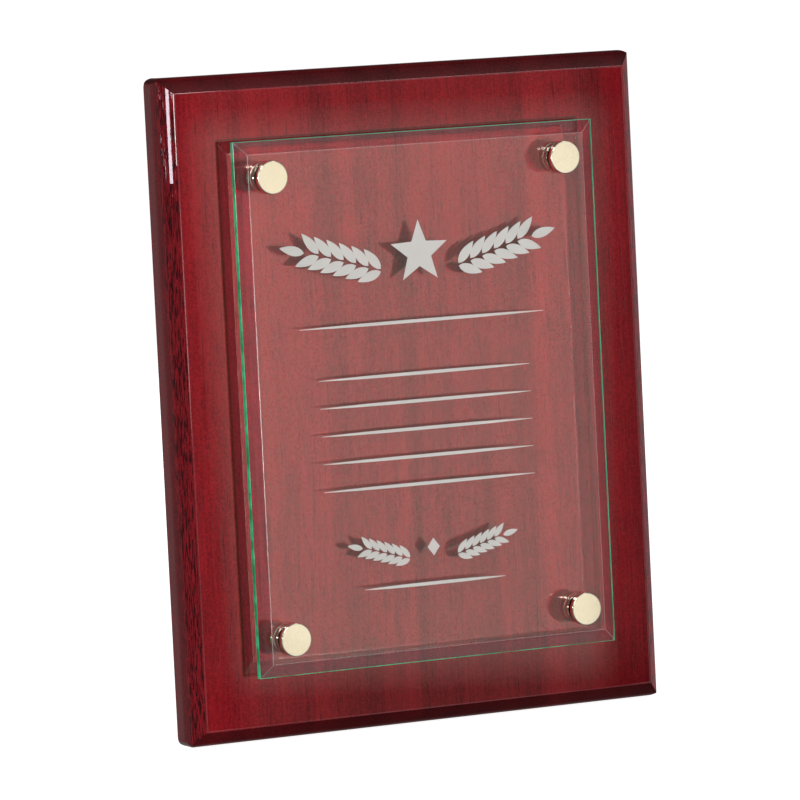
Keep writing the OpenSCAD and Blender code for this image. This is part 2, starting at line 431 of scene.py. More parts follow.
# clear glass that lets the lamps through, so what lies behind it is lit
def makeGlass(name, tint, shadow, roughness=0.0):
    material, tree = newMaterial(name)
    glass = addNode(tree, "BsdfPrincipled", {"Base Color": (*tint, 1), "Transmission Weight": 1.0,
                                             "IOR": glassIndex, "Roughness": roughness})
    through = addNode(tree, "BsdfTransparent", {"Color": (*shadow, 1)})
    shadowRay = addNode(tree, "LightPath").outputs["Is Shadow Ray"]
    showShader(tree, "MixShader", {0: shadowRay, 1: glass.outputs[0], 2: through.outputs[0]})
    return material


greenLook = {
    "deep": (0.006, 0.24, 0.11),
    "light": (0.05, 0.74, 0.37),
    "cloudScale": 110,
    "cloudSpan": (0.40, 0.58),
    # painted glow: the edge gives off a little light of its own, for light carried along the glass
    "glow": (0.01, 0.62, 0.24, 1),
    "paleSheen": (0.13, 0.36, 0.31),  # painted sheen: the edges at the right and the top are paler
    "paleSheenShare": 0.8,
    "paleSheenSpanX": (0.070, 0.075),
    "paleSheenSpanZ": (0.096, 0.100),
}


def makeGreenEdge():
    material, tree = newMaterial("greenGlassEdge")
    cloud = noise(tree, objectPlace(tree), greenLook["cloudScale"], detail=3)
    cloud = spread(tree, cloud, *greenLook["cloudSpan"])
    colour = blendColour(tree, cloud, greenLook["deep"], greenLook["light"])
    where = partsOf(tree, "Object")
    paleSheen = sums(tree, "MAXIMUM", spread(tree, where["X"], *greenLook["paleSheenSpanX"]),
                spread(tree, where["Z"], *greenLook["paleSheenSpanZ"]))
    colour = blendColour(tree, times(tree, paleSheen, greenLook["paleSheenShare"]), colour, greenLook["paleSheen"])
    # the edge's emission is a painted glow
    showShader(tree, "BsdfPrincipled", {"Base Color": colour, "Roughness": 0.15,
                                        "Emission Color": greenLook["glow"], "Emission Strength": 0.16})
    return material


# metals, with fine wear in colour and gloss
def makeMetal(name, light, dark, roughness, wear, grainScale, grainDepth, patchScale=130, span=(0.35, 0.7)):
    material, tree = newMaterial(name)
    place = objectPlace(tree)
    patch = noise(tree, place, patchScale, detail=4)
    scratch = noise(tree, place, grainScale, detail=3, roughness=0.7)
    colour = blendColour(tree, spread(tree, patch, *span), light, dark)
    showShader(tree, "BsdfPrincipled", {
        "Base Color": colour, "Metallic": 1.0,
        "Roughness": spread(tree, scratch, *span, roughness, roughness + wear),
        "Normal": bump(tree, scratch, grainDepth)})
    return material


lacquer = makeVeneer("lacqueredVeneer", coat=1.0, coatRoughness=0.0, paintedShadeAcross=(1.08, 0.74))
backVeneer = makeVeneer("satinBackVeneer", coat=0.35, coatRoughness=0.35, paintedShadeAcross=(0.85, 0.75))
rawWood = makeClouded("rawWood", dark=(0.17, 0.075, 0.035), light=(0.42, 0.24, 0.13), scale=1800, detail=4,
                      draw=0.05, depth=0.05 * mm, inputs={"Roughness": 0.85})
clearGlass = makeGlass("clearGlass", tint=(0.985, 1.0, 0.99), shadow=(1.0, 1.0, 1.0))
bevelGlass = makeGlass("bevelGlass", tint=(0.98, 1.0, 0.99), shadow=(0.30, 0.33, 0.32))
# a pale, partly clouded glass for the line where the glass bevel meets the face: a painted highlight along
# that line
arrisHighlightGlass = makeClouded("arrisPaintedHighlight", dark=(0.62, 0.66, 0.65), light=(0.86, 0.90, 0.89), scale=900,
                         inputs={"Roughness": 0.2, "IOR": glassIndex, "Transmission Weight": 0.84})
groundGlass = makeGlass("groundHoleGlass", tint=(0.88, 0.97, 0.93), shadow=(0.55, 0.62, 0.58), roughness=0.25)
clearPlastic = makeGlass("clearPlastic", tint=(0.95, 0.96, 0.96), shadow=(0.8, 0.8, 0.8), roughness=0.12)
greenEdge = makeGreenEdge()
frosted = makeClouded("frostedGlass", dark=(0.50, 0.468, 0.458), light=(0.65, 0.61, 0.598), scale=5200,
                      depth=0.02 * mm, inputs={"Roughness": 0.6})
gold = makeMetal("polishedGold", light=(0.99, 0.90, 0.74), dark=(0.97, 0.87, 0.69),
                 roughness=0.035, wear=0.05, grainScale=2600, grainDepth=0.0004 * mm)
zinc = makeMetal("zincSteel", light=(0.62, 0.63, 0.62), dark=(0.50, 0.50, 0.47),
                 roughness=0.22, wear=0.22, grainScale=1800, grainDepth=0.004 * mm)
brass = makeMetal("brassPlating", light=(0.86, 0.64, 0.30), dark=(0.72, 0.50, 0.21),
                  roughness=0.18, wear=0.22, grainScale=1500, grainDepth=0.004 * mm)
print("materials made:", len(bpy.data.materials))


def finishPiece(piece, body, slot, *nodes, angle=30):  # edges sharper than the angle stay sharp
    pick(piece)
    bpy.ops.object.shade_smooth_by_angle(angle=math.radians(angle), keep_sharp_edges=False)
    addModifier(piece, "WEIGHTED_NORMAL", weight=60, keep_sharp=True)
    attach(piece, body)
    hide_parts(*nodes)


def dress(piece, *materials):
    piece.data.materials.clear()
    for material in materials:
        piece.data.materials.append(material)


# where the standoffs and the hangers stand, read from the frame
capLow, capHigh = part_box("standoff_cap_top_right")
holeX = (capLow.x + capHigh.x) / 2
holeZ = (capLow.z + capHigh.z) / 2
hangerCentre = {}
for hanger in hangers:
    plateLow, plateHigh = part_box("keyhole_plate_" + hanger)
    hangerCentre[hanger] = (plateLow + plateHigh) / 2


def cornerMatrix(corner):
    sideX, sideZ = corners[corner]
    return Matrix.Translation((sideX * holeX, 0, sideZ * holeZ))


def hangerMatrix(hanger):
    turn = Matrix.Rotation(math.pi / 2 if hanger == "sideways" else 0, 4, "Y")
    centre = hangerCentre[hanger]
    return Matrix.Translation((centre.x, 0, centre.z)) @ turn


def drillCorners(piece, drill, material):  # the same hole at every standoff
    dress(drill, material)
    cutters = [copyPiece(drill, "drill_" + corner, cornerMatrix(corner)) for corner in corners]
    drop(drill)
    cutAway(piece, joinAll(cutters))


# board: a block whose front grows along the shoulder, the crowned bevel and the eased face edge
board = {
    "bevelLeg": 4.2 * mm,
    "shoulder": 6.4 * mm,
    "corner": 4.0 * mm,
    "backArris": 0.8 * mm,
    "backDepth": 0.05 * mm,  # what lies nearer to the wall is the back
    "crown": 0.07 * mm,
    "edgeRound": 0.8 * mm,
    "support": 0.6 * mm,
    "trimSpare": 0.02 * mm,
    "shoulderSteps": 12,
    "bevelSteps": 6,
    "edgeSteps": 4,
    "counterbore": 5.5,  # radii and heights of the standoff hole, in millimetres off the wall
    "web": 5.4,
    "shank": 2.25,
    "socket": 3.55,
    "socketFloor": 8.8,
    "drillEnd": 16,
}


def boardSection(thickness):  # (inset, height) pairs from the side wall up to the face
    leg, radius, edge, crown = take(board, "bevelLeg", "shoulder", "edgeRound", "crown")
    shoulderSteps, bevelSteps, edgeSteps = take(board, "shoulderSteps", "bevelSteps", "edgeSteps")
    slope = math.pi / 4
    base = thickness - leg - radius * math.cos(slope)
    section = []
    for step in range(shoulderSteps + 1):
        turn = slope * step / shoulderSteps
        section.append((radius * (1 - math.cos(turn)), base + radius * math.sin(turn)))
    inset, height = section[-1]
    tangent = edge * math.tan(slope / 2)
    bevelEnd = 1 - tangent * math.sqrt(0.5) / leg
    for step in range(1, bevelSteps + 1):
        along = bevelEnd * step / bevelSteps
        swell = 4 * crown * along * (1 - along) * math.sqrt(0.5)
        section.append((inset + leg * along - swell, height + leg * along + swell))
    faceInset = inset + leg
    for step in range(1, edgeSteps + 1):
        turn = slope * (1 - step / edgeSteps)
        section.append((faceInset + tangent - edge * math.sin(turn), thickness - edge * (1 - math.cos(turn))))
    section.append((faceInset + tangent + board["support"], thickness))
    return section


def makeBoard():
    low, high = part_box("backing_board")
    halfX, halfZ, thickness = high.x, high.z, -low.y
    section = boardSection(thickness)
    piece = boxPiece("boardBody", (-halfX, -section[0][1], -halfZ), (halfX, 0, halfZ))
    bevelEdges(piece, board["backArris"], lambda a, b: max(abs(a.y), abs(b.y)) < tiny)
    selectFaces(piece, lambda face: face.normal.y < frontFacing)
    for (inset, height), (nextInset, nextHeight) in zip(section, section[1:]):
        growFront(nextHeight - height, (halfX - nextInset) / (halfX - inset),
                  (halfZ - nextInset) / (halfZ - inset))
    backToObject()
    dress(piece, lacquer)

    spare = board["trimSpare"]
    rounded = boxPiece("cornerTrim", (-halfX - spare, -thickness - mm, -halfZ - spare),
                       (halfX + spare, mm, halfZ + spare))
    bevelEdges(rounded, board["corner"], lambda a, b: abs(a.x - b.x) + abs(a.z - b.z) < tiny, segments=10)
    dress(rounded, lacquer)
    cutAway(piece, rounded, "INTERSECT")

    bore, web, shank, socket = take(board, "counterbore", "web", "shank", "socket")
    floor, end = take(board, "socketFloor", "drillEnd")
    drill = turnPiece("drill", [(0, -overcut), (bore, -overcut), (bore, web), (shank, web), (shank, floor),
                                (socket, floor), (socket, end), (0, end)], segments=64)
    drillCorners(piece, drill, rawWood)
    for hanger in hangers:
        for cutter in recessCutters(hanger):
            cutAway(piece, cutter)
    tidyMesh(piece)
    piece.data.materials.append(backVeneer)
    backIndex = piece.data.materials.find(backVeneer.name)
    for face in piece.data.polygons:
        if face.normal.y > fullyFacing and face.center.y > -board["backDepth"]:
            face.material_index = backIndex
    finishPiece(piece, "plaque", "lacquered_wood", "backing_board", angle=24)


# hangers: stamped keyhole plates let into the back, each with two countersunk screws
keyhole = {
    "width": 16 * mm,
    "length": 46 * mm,
    "low": 0.1 * mm,  # face of the plate below the back of the board
    "thick": 1.5 * mm,
    "entry": 4.75 * mm,
    "slot": 2.5 * mm,
    "slotLength": 10 * mm,
    "pocketDepth": 8.1 * mm,
    "pocketMargin": 1.4 * mm,
    "play": 0.1 * mm,
    "edge": 0.18 * mm,
    "screwGap": 37 * mm,
    "screwTurn": 0.4,
    "screwHead": 2.8,  # turned sizes of a plate screw, in millimetres
    "screwShank": 1.45,
    "screwLength": 9,
    "screwPoint": 2,
    "screwPlay": 0.05,
    "pilotSpare": 0.3,
    "headEase": (0.12, 0.1),
    "threadGap": 0.4,
    "threadTurns": 4,
    "threadRoot": 0.72,  # shares of the shank, and of a turn
    "threadSpan": (0.3, 0.7),
    "pointShare": 0.9,
    "recess": (1.0, 1.6, 1.1),  # width, reach and depth
}
plateRadius = keyhole["width"] / 2
plateReach = keyhole["length"] / 2 - plateRadius
plateFloor = keyhole["low"] + keyhole["thick"]
slotHalf = keyhole["slotLength"] / 2
sinkShank = keyhole["screwShank"] + keyhole["screwPlay"]


def screwMatrix(side):
    return Matrix.Translation((0, 0, side * keyhole["screwGap"] / 2))


def recessCutters(hanger):
    shapes = [
        slotPiece("plateRecess", plateRadius + keyhole["play"], -plateReach, plateReach, -mm, plateFloor),
        slotPiece("headPocket", keyhole["entry"] + keyhole["pocketMargin"], -slotHalf, slotHalf, -mm,
                  keyhole["pocketDepth"]),
    ]
    end = keyhole["screwLength"] + keyhole["pilotSpare"]
    for side in sides:
        pilot = turnPiece("pilot", [(0, -overcut), (sinkShank, -overcut), (sinkShank, end), (0, end)], 32)
        pilot.data.transform(screwMatrix(side))
        shapes.append(pilot)
    for shape in shapes:
        dress(shape, rawWood)
        shape.data.transform(hangerMatrix(hanger))
    return shapes


def makeKeyholePlate():
    top = keyhole["low"] / mm
    end = plateFloor / mm + overcut
    head = keyhole["screwHead"] + keyhole["screwPlay"]
    piece = slotPiece("keyholePlate", plateRadius, -plateReach, plateReach, keyhole["low"], plateFloor,
                      points=96)
    dress(piece, brass)
    entry = slotPiece("entry", keyhole["entry"], -slotHalf, -slotHalf, -mm, plateFloor + mm)
    slot = slotPiece("slot", keyhole["slot"], -slotHalf, slotHalf, -mm, plateFloor + mm, points=48)
    cutAway(piece, entry)
    cutAway(piece, slot)
    for side in sides:
        sink = turnPiece("sink", [(0, -overcut), (head, -overcut), (head, top),
                                  (sinkShank, top + head - sinkShank), (sinkShank, end), (0, end)], 48)
        sink.data.transform(screwMatrix(side))
        cutAway(piece, sink)
    tidyMesh(piece)
    roundEdges(piece, keyhole["edge"], angle=50)
    tidyMesh(piece)
    dress(piece, brass)
    return piece


recessTaper = (0.45, 1, 0.6)


# cross recess with tapered flanks, cut into a screw head that faces the wall
def crossRecess(piece, headHeight, width, reach, depth):
    for turn in (0, math.pi / 2):
        cutter = boxPiece("recess", (-reach * mm, -(headHeight + depth) * mm, -width / 2 * mm),
                          (reach * mm, (overcut - headHeight) * mm, width / 2 * mm))
        selectFaces(cutter, lambda face: face.normal.y < frontFacing)
        bpy.ops.transform.resize(value=recessTaper, center_override=(0, 0, 0))
        backToObject()
        cutter.data.transform(Matrix.Rotation(turn, 4, "Y"))
        dress(cutter, *piece.data.materials)
        cutAway(piece, cutter)


def makePlateScrew():
    top = keyhole["low"] / mm
    head, shank, point, turns = take(keyhole, "screwHead", "screwShank", "screwPoint", "threadTurns")
    rim, rimHeight = keyhole["headEase"]
    tip = top + keyhole["screwLength"]
    section = [(0, top), (head - rim, top), (head, top + rimHeight), (shank, top + head - shank)]
    start = top + head - shank + keyhole["threadGap"]
    pitch = (tip - point - start) / turns
    root = shank * keyhole["threadRoot"]
    for step in range(turns):
        section.append((shank, start + pitch * step))
        section += [(root, start + pitch * (step + share)) for share in keyhole["threadSpan"]]
    section += [(shank * keyhole["pointShare"], tip - point), (0, tip)]
    piece = turnPiece("plateScrew", section, segments=48)
    dress(piece, brass)
    crossRecess(piece, top, *keyhole["recess"])
    tidyMesh(piece)
    return piece


def makeHangers():
    plate = makeKeyholePlate()
    screw = makePlateScrew()
    for hanger in hangers:
        matrix = hangerMatrix(hanger)
        copy = copyPiece(plate, "keyholePlate_" + hanger, matrix)
        finishPiece(copy, "plaque", "brass_plating", "keyhole_plate_" + hanger)
        pair = []
        for side in sides:
            spin = Matrix.Rotation(keyhole["screwTurn"] + side, 4, "Y")
            pair.append(copyPiece(screw, "plateScrew", matrix @ screwMatrix(side) @ spin))
        pair = nameIt(joinAll(pair), "plateScrews_" + hanger)
        finishPiece(pair, "plaque", "brass_plating", "plate_screws_" + hanger)
    drop(plate)
    drop(screw)


# glass plate: polished bevel, ground holes and a frosted ornament sunk into the back
glassPlate = {
    "bevelWidth": 5 * mm,
    "bevelDepth": 1.8 * mm,
    "arris": 0.25 * mm,
    "bevelLine": 0.16 * mm,  # the rounded line where the bevel meets the face, which takes the painted highlight glass
    "faceSpare": 0.01 * mm,
    "wallNormal": 0.5,  # less of a wall's normal points forward
    "hole": 3.2,
    "holeChamfer": 0.25,
    "etchDepth": 0.16 * mm,
}


def makeGlassPlate():
    low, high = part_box("glass_plate")
    halfX, halfZ = high.x, high.z
    land = low.y + glassPlate["bevelDepth"]
    piece = boxPiece("glassPlate", (-halfX, land, -halfZ), (halfX, high.y, halfZ))
    selectFaces(piece, lambda face: face.normal.y < frontFacing)
    growFront(glassPlate["bevelDepth"], 1 - glassPlate["bevelWidth"] / halfX,
              1 - glassPlate["bevelWidth"] / halfZ)
    backToObject()
    looks = [clearGlass, bevelGlass, greenEdge, arrisHighlightGlass]
    dress(piece, *looks)
    for face in piece.data.polygons:
        if abs(face.normal.y) < glassPlate["wallNormal"]:
            face.material_index = looks.index(greenEdge)
        elif -fullyFacing < face.normal.y < 0:
            face.material_index = looks.index(bevelGlass)
    roundEdges(piece, glassPlate["arris"], angle=40, material=looks.index(greenEdge))
    faceLevel = low.y + glassPlate["faceSpare"]
    bevelEdges(piece, glassPlate["bevelLine"], lambda a, b: min(a.y, b.y) < faceLevel,
               material=looks.index(arrisHighlightGlass))  # round the face and the mitres; these faces take the painted highlight glass
    back = -high.y / mm
    front = -low.y / mm
    radius = glassPlate["hole"]
    chamfer = glassPlate["holeChamfer"]
    flare = radius + chamfer + overcut
    drill = turnPiece("glassDrill", [
        (0, back - overcut), (flare, back - overcut), (radius, back + chamfer), (radius, front - chamfer),
        (flare, front + overcut), (0, front + overcut)], segments=72)
    drillCorners(piece, drill, groundGlass)
    cutAway(piece, makeOrnament(high.y), selfCrossing=True)
    tidyMesh(piece)
    finishPiece(piece, "plaque", "clear_glass", "glass_plate", angle=12)


# ornament: laurel sprays with a star, and plain tapered rules
ornament = {
    "lift": 0.5 * mm,  # the cutters start behind the glass
    "leaf": (10.5 * mm, 3.7 * mm),
    "leafForm": (0.8, 0.85),  # skew and fullness
    "leafTurn": math.radians(34),
    "leafGap": 0.5 * mm,
    "leafPairs": 6,
    "firstLeaf": 0.6,
    "spray": (50 * mm, 7 * mm),  # reach and rise, and where the stem and the tip lie in them
    "stem": (0.27, 0.62, 1.3, 0.3),
    "tip": (0.97, 0.42),
    "tipTurn": math.radians(14),
    "star": 12.5 * mm,
    "starInner": 0.42,
    "emblemHeight": 55 * mm,
    "ruleHeight": 1.15 * mm,
    "ruleTip": 0.06 * mm,
    "ruleTaper": 3,
    "rules": [  # height and half length of each, in millimetres
        (29, 52), (9, 45), (-1.6, 45), (-12.2, 45), (-22.8, 45), (-33.4, 45), (-72, 30),
    ],
    "diamond": (2.6 * mm, 3.38 * mm),
    "sprigHeight": -58 * mm,
    "sprigScale": 0.62,
}


def flatShape(name, outline, back, height=0.0):  # a block across the back of the glass
    piece = discPiece(name, len(outline), mm, back + ornament["lift"])
    for vertex, (x, z) in zip(piece.data.vertices, outline):
        vertex.co.x = x
        vertex.co.z = z
    thicken(piece, -ornament["lift"] - glassPlate["etchDepth"])
    dress(piece, frosted)
    piece.data.transform(Matrix.Translation((0, 0, height)))
    return piece


def leafOutline(length, width, points=9):
    skew, fullness = ornament["leafForm"]
    side = []
    for step in range(points + 1):
        along = step / points
        side.append((length * along, width / 2 * math.sin(math.pi * along ** skew) ** fullness))
    return side + [(x, -z) for x, z in reversed(side[1:-1])]


def starOutline(radius, points=5):
    outline = []
    for step in range(2 * points):
        reach = radius if step % 2 == 0 else radius * ornament["starInner"]
        turn = math.pi / 2 + math.pi * step / points
        outline.append((reach * math.cos(turn), reach * math.sin(turn)))
    return outline


def ruleOutline(halfLength, height, points=8):  # thins towards both ends
    top = []
    for step in range(-points, points + 1):
        along = step / points
        thin = 1 - abs(along) ** ornament["ruleTaper"]
        top.append((halfLength * along, height / 2 * thin + ornament["ruleTip"]))
    return top + [(x, -z) for x, z in reversed(top)]


def sprayShapes(back, scale, height):
    shapes = []
    length, width, reach, rise = (size * scale for size in ornament["leaf"] + ornament["spray"])
    stemStart, stemReach, stemRise, stemDrop = ornament["stem"]
    tipReach, tipRise = ornament["tip"]
    leaf = flatShape("leaf", leafOutline(length, width), back)
    stemTurn = math.atan2(rise * stemRise, stemReach * reach)
    for side in sides:
        mirror = Matrix.Scale(side, 4, (1, 0, 0))
        for pair in range(ornament["leafPairs"]):
            along = (pair + ornament["firstLeaf"]) / ornament["leafPairs"]
            x = (stemStart + stemReach * along) * reach
            z = height + rise * (along - 0.5) * stemRise - rise * stemDrop
            for flank in sides:
                turn = Matrix.Rotation(-(stemTurn + flank * ornament["leafTurn"]), 4, "Y")
                start = Matrix.Translation((x * side, 0, z + flank * ornament["leafGap"] * scale))
                shapes.append(copyPiece(leaf, "leaf", start @ mirror @ turn))
        tip = Matrix.Translation((tipReach * reach * side, 0, height + rise * tipRise))
        turn = Matrix.Rotation(-ornament["tipTurn"], 4, "Y")
        shapes.append(copyPiece(leaf, "leaf", tip @ mirror @ turn))
    drop(leaf)
    return shapes


def makeOrnament(back):
    shapes = sprayShapes(back, 1.0, ornament["emblemHeight"])
    shapes.append(flatShape("star", starOutline(ornament["star"]), back, ornament["emblemHeight"]))
    for height, halfLength in ornament["rules"]:
        outline = ruleOutline(halfLength * mm, ornament["ruleHeight"])
        shapes.append(flatShape("rule", outline, back, height * mm))
    shapes += sprayShapes(back, ornament["sprigScale"], ornament["sprigHeight"])
    half, tall = ornament["diamond"]
    outline = [(half, 0), (0, tall), (-half, 0), (0, -tall)]
    shapes.append(flatShape("diamond", outline, back, ornament["sprigHeight"]))
    cutter = joinAll(shapes)
    tidyMesh(cutter)
    return cutter


# standoffs: a polished cap with its threaded stud, clear washers and sleeve, barrel, and a screw
# from the back, all in millimetres
standoff = {
    "capRadius": 6.35,
    "capBack": 25.4,
    "capFront": 27.6,
    "capRim": 0.4,
    "capSteps": 5,
    "capSupport": 0.1,
    "stud": 1.95,
    "studTip": 15.4,
    "studPoint": 0.5,
    "pitch": 0.7,
    "threadDepth": 0.38,
    "threadRows": 8,
    "threadEnd": 0.5,  # the thread stops short of the cap, and fades before that
    "threadFade": 0.7,
    "threadFeel": (0.02, 0.1),  # points this far inside or outside the stud aren't its thread
    "barrel": 5.7,
    "barrelRim": 0.4,
    "barrelFront": 20.6,
    "barrelTaper": 0.05,
    "knurl": (17.9, 20.1),  # a knurled band behind the glass
    "knurlRows": 5,
    "knurlDepth": 0.26,
    "knurlLead": 0.3,
    "points": 96,  # round the cap and the barrel
    "boardFace": 15.0,
    "spigot": 3.5,
    "spigotEnd": 9.0,
    "spigotEase": 0.2,
    "thread": 2.0,
    "threadEase": 0.25,
}
backScrew = {
    "head": 3.8,
    "headEnd": 2.2,
    "dome": 1.0,
    "domeSteps": 8,
    "crown": 0.18,
    "seat": 4.6,
    "shank": 1.95,
    "tip": 14.4,
    "point": 0.5,
    "recess": (1.1, 2.3, 1.3),  # width, reach and depth
    "turn": 0.7,  # from one corner to the next
}
rings = {  # outer and inner radius, back, front, and how far the edges are eased
    "capWasher": (5.2, 2.05, 25.0, 25.4, 0.08),
    "glassSleeve": (3.15, 2.05, 21.0, 25.0, 0.1),
    "barrelWasher": (5.2, 2.05, 20.6, 21.0, 0.08),
    "screwWasher": (4.5, 2.25, 4.6, 5.4, 0.1),
}


def makeCap():
    radius, back, front, rim = take(standoff, "capRadius", "capBack", "capFront", "capRim")
    stud, tip, point, pitch = take(standoff, "stud", "studTip", "studPoint", "pitch")
    section = [(0, tip), (stud - point, tip), (stud, tip + point)]
    rows = int((back - tip - point) / pitch * standoff["threadRows"])
    section += [(stud, tip + point + (back - tip - point) * row / rows) for row in range(1, rows + 1)]
    section += [(radius - rim / 2, back), (radius, back + rim / 2), (radius, front - rim)]
    for step in range(1, standoff["capSteps"] + 1):  # rounded edge
        turn = math.pi / 2 * step / standoff["capSteps"]
        section.append((radius - rim * (1 - math.cos(turn)), front - rim * (1 - math.sin(turn))))
    section += [(radius - rim - standoff["capSupport"], front), (0, front)]
    piece = turnPiece("standoffCap", section, standoff["points"])
    inside, outside = standoff["threadFeel"]
    threadEnd = back - standoff["threadEnd"]
    for vertex in piece.data.vertices:  # the stud's helical thread
        height = -vertex.co.y / mm
        reach = math.hypot(vertex.co.x, vertex.co.z) / mm
        if reach < stud - inside or height > threadEnd or reach > stud + outside:
            continue
        turn = math.atan2(vertex.co.z, vertex.co.x) / (2 * math.pi)
        phase = (height / pitch - turn) % 1
        fade = min(1.0, (threadEnd - height) / standoff["threadFade"])
        depth = standoff["threadDepth"] * abs(2 * phase - 1) * max(0.0, fade)
        vertex.co.x *= (reach - depth) / reach
        vertex.co.z *= (reach - depth) / reach
    dress(piece, gold)
    return piece


def makeRing(name, material):
    outer, inner, back, front, ease = rings[name]
    piece = turnPiece(name, [(inner, back), (outer, back), (outer, front), (inner, front)], 72, ring=True)
    roundEdges(piece, ease * mm, angle=40)
    dress(piece, material)
    return piece


def makeBarrel():
    barrel, rim, front, face = take(standoff, "barrel", "barrelRim", "barrelFront", "boardFace")
    spigot, spigotEase, end = take(standoff, "spigot", "spigotEase", "spigotEnd")
    thread, ease, depth, rows = take(standoff, "thread", "threadEase", "knurlDepth", "knurlRows")
    knurlStart, knurlEnd = standoff["knurl"]
    knurlStep = (knurlEnd - knurlStart) / (rows + 1)
    knurlRows = [knurlStart + knurlStep * (row + 1) for row in range(rows)]
    piece = turnPiece("standoffBarrel", [
        (thread + ease, end), (spigot - spigotEase, end), (spigot, end + spigotEase), (spigot, face),
        (barrel - rim, face), (barrel, face + rim), (barrel, knurlStart - standoff["knurlLead"]),
        (barrel - depth, knurlStart), *[(barrel, height) for height in knurlRows], (barrel - depth, knurlEnd),
        (barrel - standoff["barrelTaper"], front - rim), (barrel - rim, front), (thread + ease, front),
        (thread, front - ease), (thread, end + ease)], standoff["points"], ring=True)
    for vertex in piece.data.vertices:  # every other point of a row stands back, and they alternate
        height = -vertex.co.y / mm
        row = (height - knurlStart) / (knurlEnd - knurlStart) * (rows + 1)
        turn = math.atan2(vertex.co.z, vertex.co.x) / (2 * math.pi) * standoff["points"]
        if 0.5 < row < rows + 0.5 and (round(turn) + round(row)) % 2:
            vertex.co.x *= 1 - depth / barrel
            vertex.co.z *= 1 - depth / barrel
    dress(piece, gold)
    return piece


def makeBackScrew():
    head, end, seat, shank = take(backScrew, "head", "headEnd", "seat", "shank")
    tip, point, dome, steps = take(backScrew, "tip", "point", "dome", "domeSteps")
    section = [(0, end)]
    for step in range(steps + 1):  # domed pan head
        turn = math.pi / 2 * step / steps
        section.append((head - dome + dome * math.sin(turn),
                        end + backScrew["crown"] + dome * (1 - math.cos(turn))))
    section += [(head, seat), (shank, seat), (shank, tip - point), (shank - point, tip), (0, tip)]
    piece = turnPiece("backScrew", section, segments=64)
    dress(piece, zinc)
    crossRecess(piece, end, *backScrew["recess"])
    tidyMesh(piece)
    return piece


def makeStandoffs():
    models = [
        (makeCap(), "standoff_cap", "polished_gold", "cap_"),
        (makeRing("capWasher", clearPlastic), "cap_washer", "clear_plastic", "washer_"),
        (makeRing("glassSleeve", clearPlastic), "glass_sleeve", "clear_plastic", None),
        (makeRing("barrelWasher", clearPlastic), "barrel_washer", "clear_plastic", None),
        (makeBarrel(), "standoff_barrel", "polished_gold", None),
        (makeBackScrew(), "back_screw", "zinc_steel", None),
        (makeRing("screwWasher", zinc), "screw_washer", "zinc_steel", None),
    ]
    for model, node, slot, mover in models:
        label = model.name
        for number, corner in enumerate(corners):
            spin = Matrix.Rotation(backScrew["turn"] * number if label == "backScrew" else 0, 4, "Y")
            copy = copyPiece(model, label + "_" + corner, cornerMatrix(corner) @ spin)
            angle = 12 if label == "standoffBarrel" else 30
            body = mover + corner if mover else "plaque"
            finishPiece(copy, body, slot, node + "_" + corner, angle=angle)
        drop(model)


makeBoard()
print("board shaped")
makeHangers()
print("hangers made")
makeGlassPlate()
print("glass plate cut and etched")
makeStandoffs()
print("standoffs placed")


# studio: pale floor, key panel in front, white card for the glass and the caps, strip for the bevel
studio = {
    "floor": -0.1275,
    "floorRadius": 45,
    "floorGlow": 0.95,
    "sides": 0.24,  # radiances round the object, and the parts of a direction where they change
    "frontDark": 0.08,
    "frontSpan": (-0.33, -0.27),
    "below": 0.12,
    "belowSpan": (-0.9, -0.5),
    "overhead": 0.15,
    "overheadRise": (0.2, 0.35),
    "overheadBack": (-0.14, 0.1),
    "backdrop": 0.75,
    "backdropRise": (0.3, 0.15),
    "backdropSide": (0.28, 0.42),
    "backdropBack": (0.72, 0.86),
    "halo": (0.28, 0.14),  # round what the glass mirrors, and less of it in the middle
    "haloSpan": (0.45, 0.78),
    "haloMiddle": (0.86, 0.96),
    "endGlow": 0.45,  # above and below what the glass mirrors, for its end bevels
    "endSpan": (0.86, 0.92),
    "endSide": (0.10, 0.16),
    "cardGlow": 0.97,  # the white card, even over the glass and falling off round it
    "cardColour": (1, 0.97, 0.85, 1),
    "cardEdge": (0.10, 0.20),  # what is left at its sides, and at its top and bottom
    "cardHalf": (0.153, 0.232),
    "cardFall": 0.030,
    "cardMargin": 0.090,
    "cardTaper": 0.035,  # wider towards its top
    "cardShift": (0.004, -0.018, 0.002),
    "cardReach": 3.0,
}


def hideFrom(piece, *rays):
    for kind in rays:
        setattr(piece, "visible_" + kind, False)


def makeFloor():
    clearSelection()
    bpy.ops.mesh.primitive_circle_add(vertices=96, radius=studio["floorRadius"], fill_type="NGON",
                                      location=(0, 0, studio["floor"]))
    floor = nameIt(bpy.context.object, "paleFloor")
    settle(floor)
    material, tree = newMaterial("paleFloor")
    showShader(tree, "BsdfPrincipled", {
        "Base Color": (0.86, 0.86, 0.86, 1), "Roughness": 0.9, "Specular IOR Level": 0.0,
        "Emission Color": (1, 1, 1, 1), "Emission Strength": studio["floorGlow"]})
    dress(floor, material)
    hideFrom(floor, "glossy", "diffuse", "transmission", "shadow")


